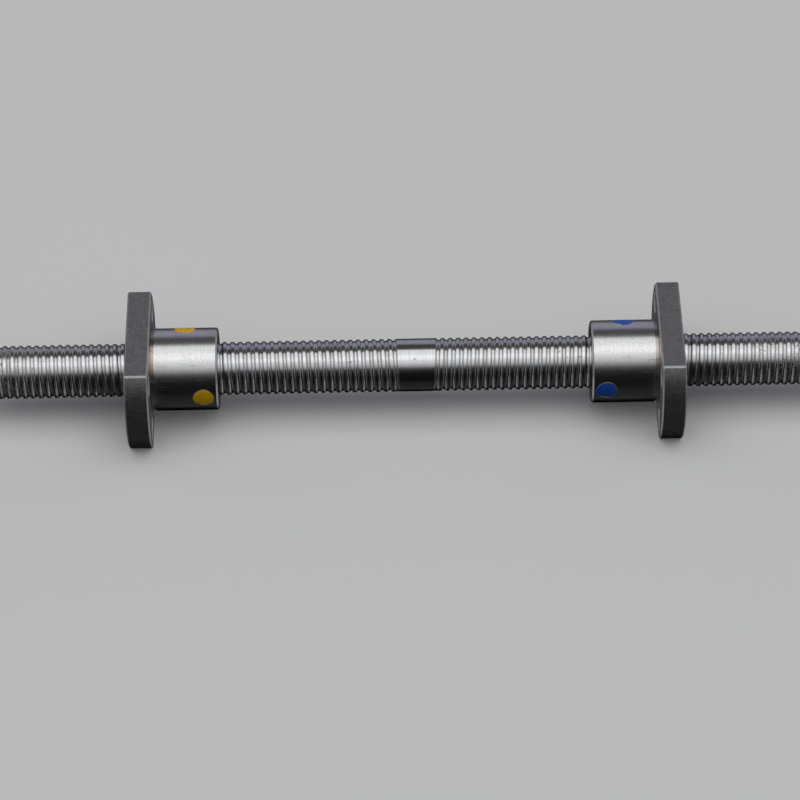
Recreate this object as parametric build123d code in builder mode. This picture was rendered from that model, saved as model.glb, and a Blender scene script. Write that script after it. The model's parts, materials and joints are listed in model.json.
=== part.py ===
from build123d import *
from math import cos, dist, radians, sin, tan
import os

# Ball screw with two threads of opposite hand on one bar, and a flanged nut on each.
# Millimetres. The screw axis is X, the origin is on it at the middle of the plain land.
# The right-hand thread and its nut are on the -X side, the left-hand pair on the +X side.
# "Turn" angles are measured about the screw axis from -Y towards +Z.

# Screw
LEAD = 2.0
SCREW_D = 13.5
THREADED_HALF_L = 108.0
JOURNAL_D = 10.0
JOURNAL_L = 24.0
JOURNAL_CHAMFER = 0.5
SHOULDER_CHAMFER = 1.0
CENTRE_HOLE_D = 3.2
CENTRE_HOLE_ANGLE = 60.0

# Balls and their track
BALL_D = 1.2
BALL_CIRCLE_D = 13.9
TRACK_R = 0.66
FIRST_TRACK_X = 5.55      # from mid land to the first groove's centre, on top of the screw
LAND_END_TURN = 150.0     # how far the groove runs on past there, towards the land
TURNS_PER_SWEEP = 4

# Nut
NUT_L = 23.0
NUT_BODY_D = 21.0
NUT_BORE_D = 14.3
FLANGE_D = 40.0
FLANGE_T = 6.0
FLATS_ACROSS = 26.0
EDGE_BREAK = 0.35
FREE_END_CHAMFER = 0.4
RELIEF_W = 1.0
RELIEF_DEPTH = 0.3        # into the body, and the same out into the flange's face
FACE_UNDERCUT = 0.15
BOLT_CIRCLE_D = 31.0
BOLT_TURN = 30.0          # each bolt hole's angle from the long axis of the flange
BOLT_HOLE_D = 5.5
BOLT_HOLE_CHAMFER = 0.3

# Where the nuts stand on the screw, as the distance of each free end from mid land
RH_NUT_X = 50.4
LH_NUT_X = 44.4

# Deflectors: round plugs through the nut's wall, each closing one ball circuit
CIRCUITS = 3
PLUG_D = 5.2
PLUG_HOLE_D = 5.3
FIRST_PLUG = 3.65         # from the nut's free end
PLUG_TURN = 360.0 / CIRCUITS
PLUG_PITCH = LEAD * (2 + 1 / CIRCUITS)
CHANNEL_R = 0.69
CROSSOVER_TURN = 20.0     # half the angle that a crossover takes
BALL_LIFT = 0.5           # rise of a ball over the screw's crest
BALL_GAP = 0.05
PATH_STEPS = 3600
CHANNEL_POINTS = 5        # each side of a crossover's middle, the last one past its end

# Wipers
WIPER_BORE_D = 13.65
WIPER_FIT = 0.06
FLANGE_WIPER_D = 18.0
FLANGE_WIPER_T = 2.6
END_WIPER_D = 16.6
END_WIPER_T = 0.8
WIPER_SET_BACK = 0.1
WIPER_LIP = 0.25

BALL_CIRCLE_R = BALL_CIRCLE_D / 2
FLANGE_FACE_X = -RH_NUT_X - (NUT_L - FLANGE_T)
OUTER_FACE_X = FLANGE_FACE_X - FLANGE_T
BOLT_SPACING_Y = BOLT_CIRCLE_D * cos(radians(BOLT_TURN))
BOLT_SPACING_Z = BOLT_CIRCLE_D * sin(radians(BOLT_TURN))
MIRROR_PLANE = Plane.YZ.offset((LH_NUT_X - RH_NUT_X) / 2)

os.makedirs("parts", exist_ok=True)


def save(part, label):
    """Names a finished piece and writes it."""
    part.label = label
    export_step(part, f"parts/{label}.step")


def save_both_hands(part, label):
    """Writes a piece of the right-hand nut, and its mirror image for the left-hand nut."""
    with BuildPart() as mirrored:
        mirror(part, about=MIRROR_PLANE)
    save(part, f"rh_{label}")
    save(mirrored.part, f"lh_{label}")


def disc(x, thickness, outer_d, inner_d=0.0, mode=Mode.ADD):
    """A plate or ring round the screw axis, from x towards +X, in the part being built."""
    with BuildSketch(Plane.YZ.offset(x)) as outline:
        Circle(outer_d / 2)
        if inner_d:
            Circle(inner_d / 2, mode=Mode.SUBTRACT)
    extrude(outline.sketch, amount=thickness, mode=mode)


def fill_track(inner_x, turns, last_turn=0.0):
    """Adds the space of a right-hand ball groove that comes from -X and is above the axis at inner_x."""
    with BuildLine() as path:
        start = inner_x - turns * LEAD
        for first in range(0, turns, TURNS_PER_SWEEP):
            length = min(TURNS_PER_SWEEP, turns - first) * LEAD
            Helix(LEAD, length, BALL_CIRCLE_R, center=(start + first * LEAD, 0, 0), direction=(1, 0, 0))
        if last_turn:
            Helix(LEAD, LEAD * last_turn / 360, BALL_CIRCLE_R, center=(inner_x, 0, 0), direction=(1, 0, 0))
    with BuildSketch(Plane(origin=path.line @ 0, z_dir=path.line % 0)) as section:
        Circle(TRACK_R)
    sweep(sections=section.sketch, path=path.line, is_frenet=True, mode=Mode.ADD)
    with Locations(path.line @ 1):
        Sphere(TRACK_R)


# Ball path, for a circuit of the right-hand nut -------------------------------------------------

def ball_centre(plug_x, plug_turn, turn):
    """Centre of a ball that is turn degrees past the middle of its deflector."""
    along = max(-1.0, min(turn / CROSSOVER_TURN, 1.0))
    swing = along * (3 - along**2) / 2
    radius = BALL_CIRCLE_R + BALL_LIFT * (1 - along**2)
    x = plug_x - LEAD * turn / 360 + LEAD / 2 * swing
    angle = radians(plug_turn + turn)
    return (x, -radius * cos(angle), radius * sin(angle))


def circuit_points(plug_x, plug_turn):
    """Ball centres spread evenly along one closed circuit."""
    turns = [-CROSSOVER_TURN + 360 * i / PATH_STEPS for i in range(PATH_STEPS + 1)]
    path = [ball_centre(plug_x, plug_turn, turn) for turn in turns]
    travelled = [0.0]
    for here, there in zip(path, path[1:]):
        travelled.append(travelled[-1] + dist(here, there))
    count = int(travelled[-1] / (BALL_D + BALL_GAP))
    spacing = travelled[-1] / count
    points = []
    for point, distance in zip(path[:-1], travelled):
        if distance >= len(points) * spacing:
            points.append(point)
    return points


# Screw ------------------------------------------------------------------------------------------

turns_on_screw = int((THREADED_HALF_L - FIRST_TRACK_X) / LEAD) + 1
half_l = THREADED_HALF_L + JOURNAL_L
centre_hole_depth = CENTRE_HOLE_D / 2 / tan(radians(CENTRE_HOLE_ANGLE / 2))

with BuildPart() as track:
    fill_track(-FIRST_TRACK_X, turns_on_screw, LAND_END_TURN)

with BuildPart() as screw_shaft:
    with BuildSketch() as half_section:
        with BuildLine():
            Polyline(
                (0, 0),
                (half_l - centre_hole_depth, 0),
                (half_l, CENTRE_HOLE_D / 2),
                (half_l, JOURNAL_D / 2 - JOURNAL_CHAMFER),
                (half_l - JOURNAL_CHAMFER, JOURNAL_D / 2),
                (THREADED_HALF_L, JOURNAL_D / 2),
                (THREADED_HALF_L, SCREW_D / 2 - SHOULDER_CHAMFER),
                (THREADED_HALF_L - SHOULDER_CHAMFER, SCREW_D / 2),
                (0, SCREW_D / 2),
                close=True,
            )
        make_face()
        mirror(about=Plane.YZ)
    revolve(axis=Axis.X)
    add(track.part, mode=Mode.SUBTRACT)
    mirror(track.part, about=Plane.YZ, mode=Mode.SUBTRACT)

save(screw_shaft.part, "screw_shaft")


# Nuts -------------------------------------------------------------------------------------------

plugs = [(-RH_NUT_X - FIRST_PLUG - i * PLUG_PITCH, i * PLUG_TURN) for i in range(CIRCUITS)]


def plug_plane(plug_x, plug_turn):
    """The plane across the screw axis at a deflector, facing out along the plug."""
    outward = (0, -cos(radians(plug_turn)), sin(radians(plug_turn)))
    return Plane(origin=(plug_x, 0, 0), x_dir=(1, 0, 0), z_dir=outward)


with BuildPart() as nut_track:
    nut_turns = int(NUT_L / LEAD) + 2
    fill_track(plugs[0][0] + LEAD / 4 + 2 * LEAD, nut_turns)

with BuildPart() as nut_body:
    with BuildSketch(Plane.YZ.offset(OUTER_FACE_X)):
        Circle(FLANGE_D / 2)
        Rectangle(FLANGE_D, FLATS_ACROSS, mode=Mode.INTERSECT)
    extrude(amount=FLANGE_T)
    chamfer(nut_body.edges(), EDGE_BREAK)
    disc(FLANGE_FACE_X, NUT_L - FLANGE_T, NUT_BODY_D)
    chamfer(nut_body.edges().group_by(Axis.X)[-1], FREE_END_CHAMFER)
    relief_outer_d = NUT_BODY_D + 2 * RELIEF_DEPTH
    relief_inner_d = NUT_BODY_D - 2 * RELIEF_DEPTH
    relief_x = FLANGE_FACE_X - FACE_UNDERCUT
    disc(relief_x, FACE_UNDERCUT + RELIEF_W, relief_outer_d, relief_inner_d, Mode.SUBTRACT)
    disc(OUTER_FACE_X, NUT_L, NUT_BORE_D, mode=Mode.SUBTRACT)
    add(nut_track.part, mode=Mode.SUBTRACT)
    disc(OUTER_FACE_X, FLANGE_WIPER_T + WIPER_SET_BACK + WIPER_FIT, FLANGE_WIPER_D, mode=Mode.SUBTRACT)
    end_recess = END_WIPER_T + WIPER_SET_BACK + WIPER_FIT
    disc(-RH_NUT_X - end_recess, end_recess, END_WIPER_D, mode=Mode.SUBTRACT)
    with BuildSketch(Plane.YZ.offset(OUTER_FACE_X)):
        with GridLocations(BOLT_SPACING_Y, BOLT_SPACING_Z, 2, 2):
            Circle(BOLT_HOLE_D / 2)
    extrude(amount=FLANGE_T, mode=Mode.SUBTRACT)
    rims = nut_body.edges().filter_by(GeomType.CIRCLE).filter_by(lambda e: e.radius == BOLT_HOLE_D / 2)
    chamfer(rims, BOLT_HOLE_CHAMFER)
    for plug in plugs:
        with BuildSketch(plug_plane(*plug)):
            Circle(PLUG_HOLE_D / 2)
        extrude(amount=NUT_BODY_D, mode=Mode.SUBTRACT)

save_both_hands(nut_body.part, "nut_body")

for number, plug in enumerate(plugs, start=1):
    with BuildPart() as deflector:
        with BuildSketch(plug_plane(*plug)):
            Circle(PLUG_D / 2)
        extrude(amount=NUT_BODY_D)
        disc(plug[0] - PLUG_D, 2 * PLUG_D, NUT_BODY_D, NUT_BORE_D, Mode.INTERSECT)
        with BuildLine() as channel:
            step = CROSSOVER_TURN / (CHANNEL_POINTS - 1)
            points = [ball_centre(*plug, i * step) for i in range(-CHANNEL_POINTS, CHANNEL_POINTS + 1)]
            Spline(points)
        with BuildSketch(Plane(origin=channel.line @ 0, z_dir=channel.line % 0)) as section:
            Circle(CHANNEL_R)
        sweep(sections=section.sketch, path=channel.line, mode=Mode.SUBTRACT)
    save_both_hands(deflector.part, f"deflector_{number}")

    with BuildPart() as balls:
        with Locations(circuit_points(*plug)):
            Sphere(BALL_D / 2)
    save_both_hands(balls.part, f"balls_{number}")

with BuildPart() as wiper_flange:
    disc(OUTER_FACE_X + WIPER_SET_BACK, FLANGE_WIPER_T, FLANGE_WIPER_D - 2 * WIPER_FIT, WIPER_BORE_D)
    chamfer(wiper_flange.edges().group_by(Axis.X)[0], WIPER_LIP)

save_both_hands(wiper_flange.part, "wiper_flange")

with BuildPart() as wiper_end:
    disc(-RH_NUT_X - END_WIPER_T - WIPER_SET_BACK, END_WIPER_T, END_WIPER_D - 2 * WIPER_FIT, WIPER_BORE_D)
    chamfer(wiper_end.edges().group_by(Axis.X)[-1], WIPER_LIP)

save_both_hands(wiper_end.part, "wiper_end")
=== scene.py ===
import json
import math

import bmesh
import bpy
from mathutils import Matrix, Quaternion, Vector


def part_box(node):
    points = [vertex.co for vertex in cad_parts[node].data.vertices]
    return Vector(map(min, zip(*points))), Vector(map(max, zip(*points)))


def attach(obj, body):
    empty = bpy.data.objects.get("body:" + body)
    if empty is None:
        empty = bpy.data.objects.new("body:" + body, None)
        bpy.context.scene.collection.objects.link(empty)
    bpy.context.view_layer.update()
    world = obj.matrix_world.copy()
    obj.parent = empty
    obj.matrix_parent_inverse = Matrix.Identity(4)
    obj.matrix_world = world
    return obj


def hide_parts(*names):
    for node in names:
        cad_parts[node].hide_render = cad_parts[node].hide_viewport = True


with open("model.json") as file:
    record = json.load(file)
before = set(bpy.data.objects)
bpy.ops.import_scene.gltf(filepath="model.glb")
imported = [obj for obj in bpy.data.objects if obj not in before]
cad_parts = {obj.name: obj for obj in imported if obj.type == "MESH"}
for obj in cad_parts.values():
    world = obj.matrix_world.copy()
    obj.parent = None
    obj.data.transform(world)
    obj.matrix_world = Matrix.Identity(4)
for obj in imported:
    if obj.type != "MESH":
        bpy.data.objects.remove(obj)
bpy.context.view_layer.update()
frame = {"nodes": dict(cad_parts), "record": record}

# Everything is in metres, in the frame of the CAD model: the screw axis is X, the origin is on it at the
# middle of the plain land, and +Z is up. Angles round the screw are measured from -Y towards +Z.

MM = 0.001

# Screw, as the frame has it
COUPLING = frame["record"]["behaviour"]["couplings"][0]
LEAD = 2 * math.pi / abs(COUPLING["ratio"])
SCREW_R = 6.75 * MM
BALL_CIRCLE_R = 6.95 * MM
TRACK_R = 0.66 * MM
FIRST_TRACK_X = 5.55 * MM          # of the first groove's centre, on top of the screw
LAND_END_TURN = 150.0              # how far the groove runs on past there, in degrees
HALF_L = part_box("screw_shaft")[1][0]
JOURNAL_L = 24.0 * MM
THREADED_HALF_L = HALF_L - JOURNAL_L
JOURNAL_R = 5.0 * MM
JOURNAL_CHAMFER = 0.5 * MM
SHOULDER_CHAMFER = 1.0 * MM
CENTRE_HOLE_R = 1.6 * MM           # of its mouth; it is a cone of 60 degrees
TOP = math.pi / 2

# Screw, as drawn
SEGMENTS = 60                      # round the thread
BLANK_SEGMENTS = 96                # round the journals
RUN_OUT_TURN = 50.0                # the groove takes this many degrees to fade out
CREST_ROUND = 0.05 * MM            # about the radius of a crest's edge
ARC_STEPS = 6                      # across the groove's floor
ARC_TRIM = 0.09                    # radians left off each end of that floor, for the rounded edge
SPARE = 0.5 * MM                   # by which a cutter stands past what it cuts

# Nuts
NUT_BODY_R = 10.5 * MM
FLANGE_T = 6.0 * MM
PLUG_HOLE_R = 2.65 * MM
HANDS = {"rh": -1, "lh": 1}        # which way each nut's flange faces along X

# Adhesive beads
BEAD_STEPS = 96
BEAD_SIDES = 8
BEAD_HALF_WIDTH = 0.12 * MM
BEAD_HEIGHT = 0.07 * MM
BEAD_WANDER = 0.04 * MM
SKIN = 0.03 * MM                   # a plug's vertices this near the nut's outside are its visible end


# Meshes -----------------------------------------------------------------------------------------

def new_piece(name, verts, faces, body, sharp_angle=35.0):
    """A mesh object with smooth shading except across sharp edges, riding on a body if one is given."""
    mesh = bpy.data.meshes.new(name)
    mesh.from_pydata([tuple(v) for v in verts], [], [tuple(f) for f in faces])
    mesh.validate()
    mesh.update()
    piece = bpy.data.objects.new(name, mesh)
    bpy.context.scene.collection.objects.link(piece)
    soften(piece, sharp_angle)
    if body:
        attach(piece, body)
    return piece


def soften(piece, sharp_angle):
    piece.data.shade_smooth()
    piece.data.set_sharp_from_angle(angle=math.radians(sharp_angle))


def round_axis(x, r, angle):
    """The point at distance r from the screw axis."""
    return (x, -r * math.cos(angle), r * math.sin(angle))


def lathe(profile, segments):
    """Vertices and faces of an (x, r) outline turned round X. A radius of 0 makes a pole."""
    verts, rings = [], []
    for x, r in profile:
        if r == 0:
            rings.append([len(verts)] * segments)
            verts.append((x, 0, 0))
            continue
        rings.append(range(len(verts), len(verts) + segments))
        verts += [round_axis(x, r, 2 * math.pi * i / segments) for i in range(segments)]
    faces = []
    for ring, after in zip(rings, rings[1:]):
        for i in range(segments):
            k = (i + 1) % segments
            corners = [ring[i], ring[k], after[k], after[i]]
            faces.append(list(dict.fromkeys(corners)))
    return verts, faces


def keep_common(piece, other):
    """Cuts a closed mesh down to the space that it shares with another, which is then removed."""
    modifier = piece.modifiers.new("cut", "BOOLEAN")
    modifier.operation = "INTERSECT"
    modifier.solver = "MANIFOLD"
    modifier.object = other
    evaluated = piece.evaluated_get(bpy.context.evaluated_depsgraph_get())
    mesh = bpy.data.meshes.new_from_object(evaluated)
    piece.modifiers.clear()
    piece.data = mesh
    bpy.data.objects.remove(other)


def remove_loose(piece):
    """Drops vertices that no face uses."""
    mesh = bmesh.new()
    mesh.from_mesh(piece.data)
    bmesh.ops.delete(mesh, geom=[v for v in mesh.verts if not v.link_faces], context="VERTS")
    mesh.to_mesh(piece.data)
    mesh.free()


def track_profile():
    """One pitch of the thread across its groove: (distance along the screw, radius), crest to crest."""
    edge = math.acos((BALL_CIRCLE_R - SCREW_R) / TRACK_R)
    half_w = TRACK_R * math.sin(edge)
    crest = [(-LEAD / 2, SCREW_R), (-half_w - 2.5 * CREST_ROUND, SCREW_R), (-half_w - CREST_ROUND, SCREW_R),
             (-half_w - CREST_ROUND / 4, SCREW_R - CREST_ROUND / 5)]
    turns = [(edge - ARC_TRIM) * (2 * i / ARC_STEPS - 1) for i in range(ARC_STEPS + 1)]
    arc = [(TRACK_R * math.sin(a), BALL_CIRCLE_R - TRACK_R * math.cos(a)) for a in turns]
    return crest + arc + [(-x, r) for x, r in reversed(crest)]


def threaded_half():
    """The threaded -X half of the bar, open at the middle of the land: (vertices, faces, land ring).

    The groove is a strip wound round the axis, each turn sharing an edge with the next. Its depth fades
    to nothing at both ends, so there the strip lies on the plain cylinder and closes onto a ring.
    """
    profile = track_profile()
    across = len(profile) - 1
    start = TOP - math.radians(LAND_END_TURN)
    first_x = -FIRST_TRACK_X + LEAD * LAND_END_TURN / 360
    turns = math.ceil((THREADED_HALF_L + first_x) / LEAD) + 2
    last = turns * SEGMENTS
    fade = RUN_OUT_TURN / 360 * SEGMENTS
    verts = []

    def add(x, r, i):
        verts.append(round_axis(x, r, start + 2 * math.pi * i / SEGMENTS))

    for i in range(last + SEGMENTS + 1):
        depth = min(1.0, i / fade, max(0.0, (last - i) / fade))
        depth = depth * depth * (3 - 2 * depth)
        for s, r in profile[:-1] if i <= last else profile[:1]:
            add(first_x - LEAD * i / SEGMENTS - s, SCREW_R - (SCREW_R - r) * depth, i)

    def at(i, j=0):
        """Number of the strip's vertex i segments along and j points across."""
        if j == across:
            i, j = i + SEGMENTS, 0
        return i * across + j if i <= last else (last + 1) * across + i - last - 1

    land, end = len(verts), len(verts) + SEGMENTS
    for x in (0.0, -HALF_L - LEAD):
        for i in range(SEGMENTS):
            add(x, SCREW_R, i)
    faces = [(at(i, j), at(i + 1, j), at(i + 1, j + 1), at(i, j + 1))
             for i in range(last) for j in range(across)]
    faces += [(land + i, land + i + 1, at(i + 1), at(i)) for i in range(SEGMENTS - 1)]
    faces += [(at(last + i), at(last + i + 1), end + (i + 1) % SEGMENTS, end + i)
              for i in range(1, SEGMENTS)]
    faces.append([land + SEGMENTS - 1, land] + [at(0, j) for j in range(across + 1)] + [at(SEGMENTS - 1)])
    faces.append([at(last + 1), end + 1, end] + [at(last, j) for j in range(across, -1, -1)])
    faces.append(list(range(end, end + SEGMENTS)))
    return verts, faces, range(land, land + SEGMENTS)


def screw():
    """The whole bar: both threaded halves, cut to the shape of the turned blank."""
    verts, faces, land = threaded_half()
    count = len(verts)
    verts = verts + [(-x, y, z) for x, y, z in verts]
    other = [k if k in land else k + count for k in range(count)]
    faces = faces + [[other[k] for k in reversed(face)] for face in faces]
    bar = new_piece("screw_bar", verts, faces, None)
    remove_loose(bar)
    half = [
        (HALF_L - CENTRE_HOLE_R * math.sqrt(3), 0),
        (HALF_L, CENTRE_HOLE_R),
        (HALF_L, JOURNAL_R - JOURNAL_CHAMFER),
        (HALF_L - JOURNAL_CHAMFER, JOURNAL_R),
        (THREADED_HALF_L, JOURNAL_R),
        (THREADED_HALF_L, SCREW_R - SHOULDER_CHAMFER),
        (THREADED_HALF_L - SHOULDER_CHAMFER - SPARE, SCREW_R + SPARE),
    ]
    outline = [(-x, r) for x, r in half] + half[::-1]
    keep_common(bar, new_piece("blank", *lathe(outline, BLANK_SEGMENTS), None))
    soften(bar, 42)
    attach(bar, "screw")
    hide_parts("screw_shaft")
    return bar


def bead(node, body, seed):
    """A thin uneven bead of adhesive in the joint between a deflector plug and the nut's outside."""
    skin = [v.co for v in node.data.vertices if math.hypot(v.co.y, v.co.z) > NUT_BODY_R - SKIN]
    lows, highs = [[f(co[k] for co in skin) for k in range(3)] for f in (min, max)]
    centre = [(low + high) / 2 for low, high in zip(lows, highs)]
    middle = math.atan2(centre[2], -centre[1])
    waves = [(2 + k, 0.9 * seed + 2.1 * k) for k in range(5)]
    verts = []
    for i in range(BEAD_STEPS):
        a = 2 * math.pi * i / BEAD_STEPS
        swell = sum(math.sin(n * a + phase) / n for n, phase in waves)
        size = max(0.10, 0.45 + 1.2 * swell)
        reach = PLUG_HOLE_R + BEAD_WANDER * math.sin(3 * a + seed)
        for j in range(BEAD_SIDES):
            b = 2 * math.pi * j / BEAD_SIDES
            across = reach + BEAD_HALF_WIDTH * size * math.cos(b)
            up = NUT_BODY_R + BEAD_HEIGHT * size * math.sin(b)
            turn = middle + math.asin(across * math.sin(a) / NUT_BODY_R)
            verts.append(round_axis(centre[0] + across * math.cos(a), up, turn))
    faces = []
    for i in range(BEAD_STEPS):
        here, there = i * BEAD_SIDES, (i + 1) % BEAD_STEPS * BEAD_SIDES
        for j in range(BEAD_SIDES):
            k = (j + 1) % BEAD_SIDES
            faces.append((here + j, here + k, there + k, there + j))
    return new_piece(node.name.split(".")[0] + "_bead", verts, faces, body, 60)


# Materials --------------------------------------------------------------------------------------

class Graph:
    """A node tree. Its methods add nodes and give back their output sockets."""

    def __init__(self, tree):
        self.tree = tree

    def add(self, kind, **settings):
        node = self.tree.nodes.new(kind)
        for name, value in settings.items():
            setattr(node, name, value)
        return node

    def feed(self, socket, value):
        if isinstance(value, bpy.types.NodeSocket):
            self.tree.links.new(value, socket)
        elif socket.type == "RGBA":
            socket.default_value = (*value, 1)
        else:
            socket.default_value = value

    def node(self, kind, *values, output=0, **settings):
        """Adds a node, feeds its inputs in order, and gives back an output."""
        node = self.add(kind, **settings)
        for socket, value in zip(node.inputs, values):
            self.feed(socket, value)
        return node.outputs[output]

    def math(self, operation, a, b=0.0):
        return self.node("ShaderNodeMath", a, b, operation=operation)

    def product(self, *values):
        result = values[0]
        for value in values[1:]:
            result = self.math("MULTIPLY", result, value)
        return result

    def plus(self, a, b):
        return self.math("ADD", a, b)

    def absolute(self, value):
        return self.math("ABSOLUTE", value)

    def split(self, vector):
        """The x, y and z of a vector."""
        return list(self.add_fed("ShaderNodeSeparateXYZ", vector).outputs)

    def add_fed(self, kind, value):
        node = self.add(kind)
        self.feed(node.inputs[0], value)
        return node

    def ray(self, kind):
        """1 for a ray of that kind, such as Camera or Glossy, and 0 for any other."""
        return self.add("ShaderNodeLightPath").outputs[f"Is {kind} Ray"]

    def noise(self, vector, scale, detail=2.0, roughness=0.5):
        node = self.add("ShaderNodeTexNoise")
        self.feed(node.inputs["Vector"], vector)
        for name, value in (("Scale", scale), ("Detail", detail), ("Roughness", roughness)):
            node.inputs[name].default_value = value
        return node.outputs[0]

    def span(self, value, low, high, to_low=0.0, to_high=1.0, smooth=False):
        """Maps low..high to to_low..to_high, held at the ends."""
        kind = "SMOOTHSTEP" if smooth else "LINEAR"
        return self.node("ShaderNodeMapRange", value, low, high, to_low, to_high, interpolation_type=kind)

    def mix(self, share, a, b):
        """Colour a where share is 0, and b where it is 1."""
        node = self.add("ShaderNodeMix", data_type="RGBA")
        for k, value in ((0, share), (6, a), (7, b)):
            self.feed(node.inputs[k], value)
        return node.outputs[2]


class Finish(Graph):
    """A material: a Principled shader, with the point it shades in metres and the distance from the axis."""

    def __init__(self, name):
        self.material = bpy.data.materials.new(name)
        self.material.use_nodes = True
        super().__init__(self.material.node_tree)
        self.point = self.add("ShaderNodeTexCoord").outputs["Object"]
        self.x, self.y, self.z = self.split(self.point)
        self.radius = self.math("SQRT", self.plus(self.math("POWER", self.y, 2), self.math("POWER", self.z, 2)))

    def stretched(self, along_x, along_y, along_z):
        return self.node("ShaderNodeCombineXYZ", self.product(self.x, along_x),
                         self.product(self.y, along_y), self.product(self.z, along_z))

    def around(self, along, turn):
        """A point for noise drawn out round the screw axis: fine along X, slow round it."""
        unit_y, unit_z = (self.math("DIVIDE", v, self.radius) for v in (self.y, self.z))
        return self.node("ShaderNodeCombineXYZ", self.product(self.x, along), self.product(unit_y, turn),
                         self.product(unit_z, turn))

    def bump(self, height, distance, strength, normal=None):
        node = self.add("ShaderNodeBump")
        self.feed(node.inputs["Height"], height)
        self.feed(node.inputs["Distance"], distance)
        self.feed(node.inputs["Strength"], strength)
        if normal:
            self.feed(node.inputs["Normal"], normal)
        return node.outputs[0]

    def done(self, **inputs):
        shader = self.tree.nodes["Principled BSDF"]
        for name, value in inputs.items():
            self.feed(shader.inputs[name.replace("_", " ")], value)
        return self.material


def screw_steel():
    """Ground steel: fine lines round the bar, oil low in the grooves, and dried grime towards the ends."""
    g = Finish("screw_steel")
    lines = g.noise(g.around(2200, 1.0), 1.0, 3.0, 0.6)
    fine = g.noise(g.around(7000, 3.0), 1.0, 2.0)
    cloud = g.noise(g.point, 260, 4.0, 0.6)
    low = g.span(g.radius, 6.32 * MM, 6.66 * MM, 1.0, 0.0, smooth=True)
    threads = g.span(g.absolute(g.x), THREADED_HALF_L - 2 * MM, THREADED_HALF_L, 1.0, 0.12)
    outer = g.product(g.span(g.absolute(g.plus(g.x, 6 * MM)), 84 * MM, 100 * MM, smooth=True), threads)
    patches = g.span(g.noise(g.point, 230, 3.0, 0.65), 0.50, 0.62)
    specks = g.span(g.noise(g.point, 1700, 4.0, 0.7), 0.50, 0.60)
    grime = g.product(outer, specks, g.span(patches, 0.0, 1.0, 0.12, 1.0))
    pits = g.product(g.span(g.noise(g.point, 700, 2.0, 0.5), 0.70, 0.73), 0.6)
    oil = g.product(low, g.span(cloud, 0.42, 0.66))
    colour = g.mix(g.span(lines, 0.3, 0.7), (0.56, 0.56, 0.57), (0.64, 0.64, 0.65))
    colour = g.mix(g.product(oil, 0.45), colour, (0.22, 0.19, 0.13))
    colour = g.mix(pits, colour, (0.10, 0.085, 0.07))
    colour = g.mix(g.product(grime, 0.9), colour, (0.055, 0.050, 0.042))
    rough = g.plus(g.span(fine, 0.25, 0.75, 0.13, 0.21), g.product(grime, 0.4))
    normal = g.bump(lines, 0.0006 * MM, 0.6, g.bump(grime, 0.03 * MM, 0.5))
    metallic = g.span(grime, 0.0, 1.0, 1.0, 0.2)
    return g.done(Base_Color=colour, Roughness=rough, Metallic=metallic, Normal=normal)


def nut_steel(prefix):
    """A ground body, a matte flange whose broken edges are lightened as a painted highlight, and oil in the
    relief groove between them.
    """
    side = HANDS[prefix]
    seat_x = side * (max(abs(corner[0]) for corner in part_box(f"{prefix}_nut_body")) - FLANGE_T)
    g = Finish(f"{prefix}_nut_steel")
    past_seat = g.product(g.math("SUBTRACT", g.x, seat_x), float(side))
    flange = g.span(past_seat, -0.04 * MM, 0.04 * MM)
    relief = g.product(g.span(g.radius, 10.25 * MM, 10.42 * MM, 1.0, 0.0),
                       g.span(past_seat, -1.15 * MM, -0.95 * MM), g.span(flange, 0.0, 1.0, 1.0, 0.0))
    grain = g.noise(g.point, 2400, 3.0, 0.6)
    coarse = g.noise(g.point, 650, 4.0, 0.6)
    cloud = g.noise(g.point, 90, 3.0, 0.5)
    lines = g.noise(g.around(3000, 1.5), 1.0, 3.0, 0.6)
    scuff = g.span(g.noise(g.stretched(240, 900, 900), 1.0, 4.0, 0.7), 0.60, 0.66)
    body = g.mix(g.span(lines, 0.3, 0.7), (0.61, 0.61, 0.615), (0.66, 0.66, 0.665))
    body = g.mix(g.product(g.span(grain, 0.48, 0.64), 0.24), body, (0.32, 0.32, 0.33))
    body = g.mix(g.product(scuff, 0.4), body, (0.25, 0.25, 0.26))
    matte = g.mix(g.span(coarse, 0.3, 0.7), (0.245, 0.245, 0.248), (0.325, 0.325, 0.328))
    matte = g.mix(g.span(cloud, 0.35, 0.7, 0.0, 0.25), matte, (0.16, 0.16, 0.163))
    matte = g.mix(g.product(g.span(grain, 0.42, 0.62), 0.55), matte, (0.45, 0.45, 0.452))
    colour = g.mix(flange, body, matte)
    colour = g.mix(g.product(relief, g.span(cloud, 0.3, 0.7, 0.45, 0.8)), colour, (0.30, 0.20, 0.12))
    # painted highlight: the broken edges, where the true normal leans along the screw but not all the way, are
    # lightened
    tilt = g.absolute(g.split(g.node("ShaderNodeNewGeometry", output=3))[0])
    edge = g.product(g.span(tilt, 0.50, 0.62), g.span(tilt, 0.80, 0.92, 1.0, 0.0),
                     g.span(coarse, 0.3, 0.6, 0.5, 0.95))
    colour = g.mix(edge, colour, (0.66, 0.66, 0.665))
    rough = g.plus(g.product(flange, 0.20), g.span(grain, 0.3, 0.7, 0.19, 0.27))
    rough = g.plus(rough, g.product(scuff, 0.12))
    normal = g.bump(coarse, g.product(flange, 0.012 * MM), 0.4, g.bump(lines, 0.0005 * MM, 0.5))
    normal = g.bump(grain, g.span(flange, 0.0, 1.0, 0.005 * MM, 0.016 * MM), 0.5, normal)
    return g.done(Base_Color=colour, Roughness=rough, Metallic=1.0, Normal=normal)


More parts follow.
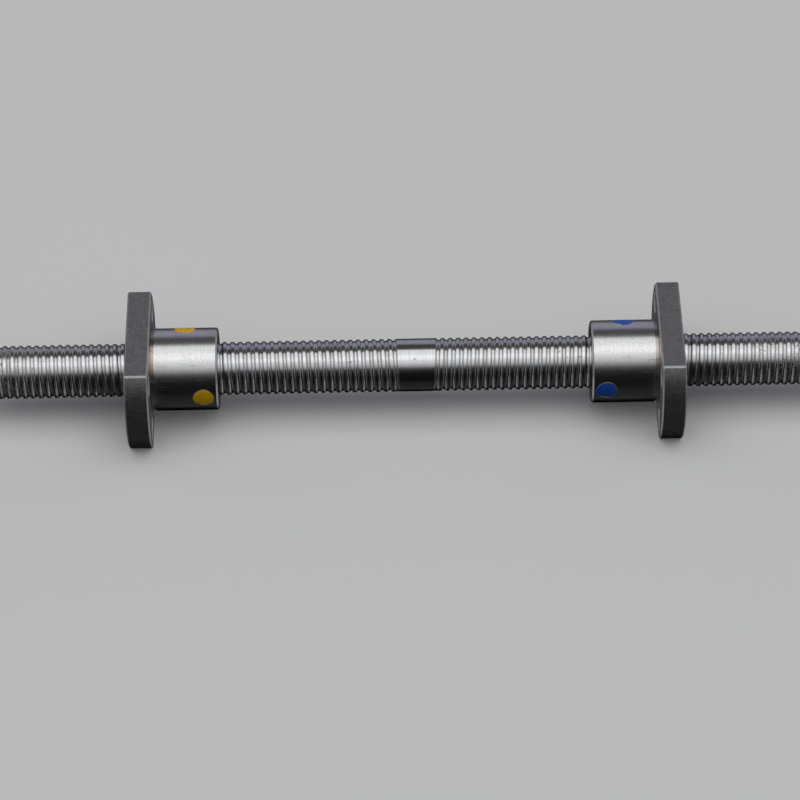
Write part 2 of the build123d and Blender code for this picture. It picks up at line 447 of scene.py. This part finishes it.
def soft_finish(name, dark, light, roughness, scale, bump=0.01, **extra):
    """A finish whose colour and gloss vary softly between two shades. The bump is in millimetres."""
    g = Finish(name)
    cloud = g.noise(g.point, scale, 4.0, 0.6)
    fine = g.noise(g.point, scale * 5, 3.0, 0.6)
    colour = g.mix(g.span(cloud, 0.3, 0.7), dark, light)
    rough = g.span(fine, 0.3, 0.7, roughness - 0.06, roughness + 0.08)
    return g.done(Base_Color=colour, Roughness=rough, Normal=g.bump(fine, bump * MM, 0.5), **extra)


def paint(piece, material):
    """Gives a piece one material, in object-linked slots so that a CAD mesh stays as it is."""
    if not piece.material_slots:
        piece.data.materials.append(None)
    for slot in piece.material_slots:
        slot.link = "OBJECT"
        slot.material = material


# Studio -----------------------------------------------------------------------------------------

def grey(level):
    return (level, level, level)


def room():
    """Soft light from all round: a long box overhead, darkness low in front and high behind, a grey wall
    low behind, and grey at both ends. The camera itself sees a plain pale room.
    """
    world = bpy.data.worlds.new("room")
    bpy.context.scene.world = world
    world.use_nodes = True
    g = Graph(world.node_tree)
    x, y, z = g.split(g.add("ShaderNodeTexCoord").outputs["Generated"])
    height = g.math("DIVIDE", g.math("ARCTAN2", z, g.product(y, -1.0)), math.pi)
    ramp = g.add_fed("ShaderNodeValToRGB", height)
    wall = (0.34, 0.335, 0.40)
    stops = [                      # degrees round the X axis, from the horizon in front over the top
        (0, grey(0.005)), (20, grey(0.018)), (30, grey(0.08)), (44, grey(0.58)), (56, grey(0.90)),
        (67, grey(1.10)), (95, grey(1.15)), (114, grey(1.10)), (116.5, grey(0.06)), (143, grey(0.06)),
        (152, wall), (180, wall),
    ]
    marks = ramp.color_ramp.elements
    while len(marks) < len(stops):
        marks.new(0.5)
    for mark, (degrees, colour) in zip(marks, stops):
        mark.position = degrees / 180
        mark.color = (*colour, 1)
    sideways = g.span(g.absolute(x), 0.50, 0.80, smooth=True)
    light = g.mix(sideways, ramp.outputs[0], (0.34, 0.34, 0.35))
    background = world.node_tree.nodes["Background"]
    g.feed(background.inputs["Color"], g.mix(g.ray("Camera"), light, grey(0.47)))


def floor():
    """A plain pale floor that both nuts stand on. Seen in the steel it is dark, as if flagged off, but for
    a glow towards both ends of the screw.
    """
    z = min(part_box(f"{prefix}_nut_body")[0][2] for prefix in HANDS)
    half = 6.0
    corners = [(-half, -half, z), (half, -half, z), (half, half, z), (-half, half, z)]
    mesh = bpy.data.meshes.new("floor")
    mesh.from_pydata(corners, [], [(0, 1, 2, 3)])
    piece = bpy.data.objects.new("floor", mesh)
    bpy.context.scene.collection.objects.link(piece)
    g = Finish("floor")
    tone = g.mix(g.noise(g.point, 2.5, 3.0), grey(0.76), grey(0.80))
    seen = g.ray("Camera")
    across = g.split(g.node("ShaderNodeNewGeometry", output=4))[0]     # of the ray's way back
    inward = g.span(g.product(across, g.x), -0.010, 0.004, 0.2, 1.0)
    glow = g.product(g.span(g.absolute(across), 0.22, 0.55), inward, g.product(g.ray("Glossy"), 0.30))
    paint(piece, g.done(Base_Color=g.mix(seen, grey(0.003), tone),
                        Roughness=g.span(seen, 0.0, 1.0, 0.08, 0.9),
                        Specular_IOR_Level=g.span(seen, 0.0, 1.0, 0.3, 0.1),
                        Emission_Color=grey(1.0), Emission_Strength=glow))


def overhead_lamp():
    data = bpy.data.lights.new("overhead_lamp", "AREA")
    data.shape = "RECTANGLE"
    data.size, data.size_y = 1.1, 0.34
    data.energy = 0.35
    light = bpy.data.objects.new("overhead_lamp", data)
    light.location = (0, -0.18, 0.85)
    light.rotation_euler = (math.atan2(light.location.y, light.location.z), 0, 0)
    bpy.context.scene.collection.objects.link(light)


def camera():
    """A long lens, looking down at the screw from the front, tipped by a degree."""
    azimuth, elevation, roll = (math.radians(v) for v in (-0.27, 45.93, -0.87))
    distance, target = 0.9155, Vector((-4.32 * MM, 0, -12.78 * MM))
    data = bpy.data.cameras.new("camera")
    data.angle = math.radians(12.85)
    data.clip_start = 0.05
    view = bpy.data.objects.new("camera", data)
    bpy.context.scene.collection.objects.link(view)
    back = Vector((math.sin(azimuth) * math.cos(elevation), -math.cos(azimuth) * math.cos(elevation),
                   math.sin(elevation)))
    view.location = target + back * distance
    view.rotation_mode = "QUATERNION"
    view.rotation_quaternion = (-back).to_track_quat("-Z", "Y") @ Quaternion((0, 0, 1), roll)
    bpy.context.scene.camera = view


# The object -------------------------------------------------------------------------------------

paint(screw(), screw_steel())
balls = soft_finish("ball_steel", (0.70, 0.70, 0.72), (0.80, 0.80, 0.82), 0.12, 900, 0.001, Metallic=1.0)
wiper = soft_finish("wiper_plastic", (0.018, 0.018, 0.02), (0.035, 0.035, 0.038), 0.45, 700)
adhesive = soft_finish("adhesive", (0.20, 0.17, 0.12), (0.60, 0.57, 0.48), 0.12, 1500, 0.004)
plugs = {
    "rh": soft_finish("amber_plastic", (0.78, 0.42, 0.003), (0.92, 0.52, 0.006), 0.42, 500),
    "lh": soft_finish("blue_plastic", (0.008, 0.085, 0.42), (0.018, 0.12, 0.56), 0.42, 500),
}
for prefix, side in HANDS.items():
    paint(frame["nodes"][f"{prefix}_nut_body"], nut_steel(prefix))
    for number in (1, 2, 3):
        deflector = frame["nodes"][f"{prefix}_deflector_{number}"]
        paint(deflector, plugs[prefix])
        paint(frame["nodes"][f"{prefix}_balls_{number}"], balls)
        line = bead(deflector, f"{prefix}_nut", number + 4 * side)
        paint(line, adhesive)
    for end in ("flange", "end"):
        paint(frame["nodes"][f"{prefix}_wiper_{end}"], wiper)

floor()
room()
overhead_lamp()
camera()
bpy.context.scene.view_settings.view_transform = "Standard"
